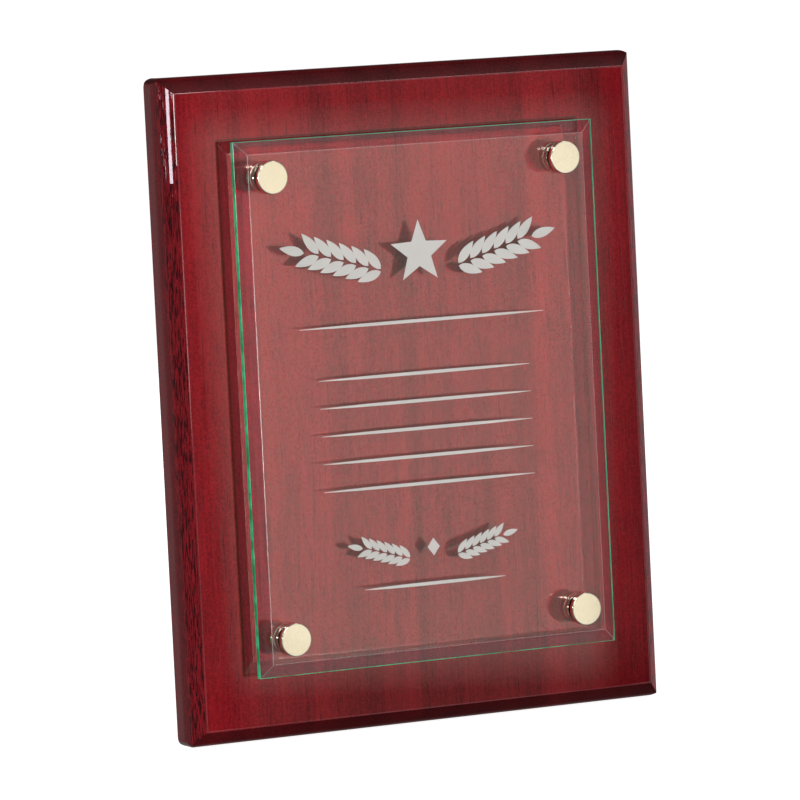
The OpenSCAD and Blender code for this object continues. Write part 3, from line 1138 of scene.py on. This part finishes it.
def makeCard():  # what the glass and the caps mirror towards the camera
    halfWidth, halfHeight = studio["cardHalf"]
    sideEdge, endEdge = studio["cardEdge"]
    fall = studio["cardFall"]
    margin = studio["cardMargin"]
    clearSelection()
    bpy.ops.mesh.primitive_plane_add(size=1)
    card = nameIt(bpy.context.object, "whiteCard")
    card.scale = (2 * (halfWidth + margin), 2 * (halfHeight + margin), 1)
    settle(card)
    material, tree = newMaterial("whiteCard")
    where = partsOf(tree, "Object")
    across = sums(tree, "SUBTRACT", awayFrom(tree, where["X"]), times(tree, where["Y"], studio["cardTaper"]))
    along = awayFrom(tree, where["Y"])
    glow = times(tree, spread(tree, across, halfWidth, halfWidth + fall, 1.0, sideEdge),
                 spread(tree, along, halfHeight, halfHeight + fall, 1.0, endEdge))
    glow = times(tree, glow, studio["cardGlow"])
    showShader(tree, "Emission", {"Color": studio["cardColour"], "Strength": glow})
    dress(card, material)
    card.location = mirrored * studio["cardReach"] + Vector(studio["cardShift"])
    card.rotation_euler = mirrored.to_track_quat("Z", "Y").to_euler()
    hideFrom(card, "camera", "diffuse", "shadow")


def addPanel(name, place, aim, size, radiance, colour=(1, 1, 1)):
    panel = bpy.data.lights.new(name, "AREA")
    panel.color = colour
    panel.shape = "RECTANGLE"
    panel.size, panel.size_y = size
    panel.energy = radiance * math.pi * size[0] * size[1]
    lamp = bpy.data.objects.new(name, panel)
    scene.collection.objects.link(lamp)
    lamp.location = place
    lamp.rotation_euler = (Vector(aim) - Vector(place)).to_track_quat("-Z", "Y").to_euler()
    hideFrom(lamp, "camera")
    return lamp


def makeWorld():
    world = bpy.data.worlds.new("studioWorld")
    world.use_nodes = True
    tree = world.node_tree
    tree.nodes.clear()
    way = addNode(tree, "TexCoord").outputs["Generated"]
    parts = partsOf(tree, "Generated")
    x, y, z = parts["X"], parts["Y"], parts["Z"]

    def span(value, key, *ends):
        return spread(tree, value, *studio[key], *ends)

    light = span(y, "frontSpan", studio["frontDark"], studio["sides"])
    light = times(tree, light, span(z, "belowSpan", studio["below"], 1.0))
    overhead = times(tree, span(z, "overheadRise"), span(y, "overheadBack"))
    light = times(tree, light, spread(tree, overhead, 0, 1, 1.0, studio["overhead"]))
    backdrop = times(tree, span(awayFrom(tree, z), "backdropRise"), span(x, "backdropSide"))
    backdrop = times(tree, backdrop, span(y, "backdropBack"))
    light = plus(tree, light, times(tree, backdrop, studio["backdrop"]))
    around = addNode(tree, "VectorMath", {0: way, 1: mirrored}, operation="DOT_PRODUCT").outputs["Value"]
    haloGlow, haloDip = studio["halo"]
    halo = sums(tree, "SUBTRACT", span(around, "haloSpan", 0.0, haloGlow),
                span(around, "haloMiddle", 0.0, haloDip))
    endGlow = times(tree, span(around, "endSpan"), span(awayFrom(tree, x, mirrored.x), "endSide", 1.0, 0.0))
    light = plus(tree, light, plus(tree, halo, times(tree, endGlow, studio["endGlow"])))
    dim = addNode(tree, "Background", {"Color": (1, 1, 1, 1), "Strength": light})
    white = addNode(tree, "Background", {"Color": (1, 1, 1, 1), "Strength": 1.0})
    cameraRay = addNode(tree, "LightPath").outputs["Is Camera Ray"]
    mixed = addNode(tree, "MixShader", {0: cameraRay, 1: dim.outputs[0], 2: white.outputs[0]})
    addNode(tree, "OutputWorld", {"Surface": mixed.outputs[0]})
    world.cycles.sampling_method = "NONE"  # else its light reaches the wood behind the glass twice
    scene.world = world


# camera as fitted to the photograph, in degrees and metres
view = {
    "azimuth": -25.93,
    "elevation": 4.55,
    "roll": -2.86,
    "distance": 2.307,
    "focal": 6024 / 800,  # of the picture's width
    "target": (-0.00763, -0.015, -0.00138),
}


def makeCamera():
    turn, rise, roll = (math.radians(view[key]) for key in ("azimuth", "elevation", "roll"))
    back = Vector((math.sin(turn) * math.cos(rise), -math.cos(turn) * math.cos(rise), math.sin(rise)))
    side = (-back).cross(Vector((0, 0, 1))).normalized()
    up = side.cross(-back)
    right = math.cos(roll) * side + math.sin(roll) * up
    top = -math.sin(roll) * side + math.cos(roll) * up
    data = bpy.data.cameras.new("photoCamera")
    data.sensor_width = 36
    data.lens = view["focal"] * data.sensor_width
    data.clip_end = 200
    camera = bpy.data.objects.new("photoCamera", data)
    scene.collection.objects.link(camera)
    place = Vector(view["target"]) + back * view["distance"]
    matrix = Matrix((right, top, back)).transposed().to_4x4()
    camera.matrix_world = Matrix.Translation(place) @ matrix
    scene.camera = camera
    return back


def mirroredAt(place, slope, reach):  # what the camera sees mirrored on a surface that slopes to the left
    look = (place - scene.camera.location).normalized()
    normal = Vector((-math.sin(math.radians(slope)), -math.cos(math.radians(slope)), 0))
    return place + look.reflect(normal) * reach


towards = makeCamera()
mirrored = Vector((-towards.x, towards.y, -towards.z))  # where the glass and the caps look
makeFloor()
makeCard()
makeWorld()
bevelTop = Vector((-0.0965, -0.0146, 0.106))
faceEdge = Vector((-0.0946, -0.0150, 0.110))
stripPlace = mirroredAt(bevelTop, slope=44.8, reach=1.3)
edgePlace = mirroredAt(faceEdge, slope=37, reach=1.2)
lights = {  # place, aim, size and radiance; these light, and aren't mirrored
    "keyPanel": ((0.82, -2.25, -0.188), (0, 0, 0), (0.06, 0.06), 3100),
    "sideFill": ((-1.1, -0.38, 0.1), (-0.1, 0, 0), (0.3, 0.3), 12),
    "backFill": ((0.3, 1.6, 1.0), (0, 0, 0), (0.8, 0.8), 4.5),
}
reflections = {  # these are mirrored, and light nothing
    "bevelStrip": (stripPlace, bevelTop, (0.054, 0.058), 14, (1, 0.88, 0.97)),
    "edgeStrip": (edgePlace, faceEdge, (0.4, 0.05), 28),
    "topPanel": ((0.40, -0.42, 0.81), (0, 0, 0.1), (0.3, 0.1), 6),
    "frontGlow": ((0.05, -1.0, 0.06), (0, 0, 0), (0.2, 0.2), 5),
    "beadPanel": ((-0.80, 0.10, 0.70), (0, -0.02, 0), (0.9, 0.9), 1.0),
    "frontTop": ((-0.10, -1.04, 0.50), (0, 0, 0), (0.16, 0.16), 22),
}
for name, settings in lights.items():
    lamp = addPanel(name, *settings)
    lamp.data.cycles.use_multiple_importance_sampling = False
    hideFrom(lamp, "glossy")
for name, settings in reflections.items():
    hideFrom(addPanel(name, *settings), "diffuse")

scene.view_settings.view_transform = "Standard"
scene.view_settings.look = "None"
scene.cycles.blur_glossy = 0.0  # else the lamps reach the wood behind the glass twice
scene.cycles.max_bounces = 24
scene.cycles.glossy_bounces = 12
scene.cycles.transmission_bounces = 16
print("studio set")
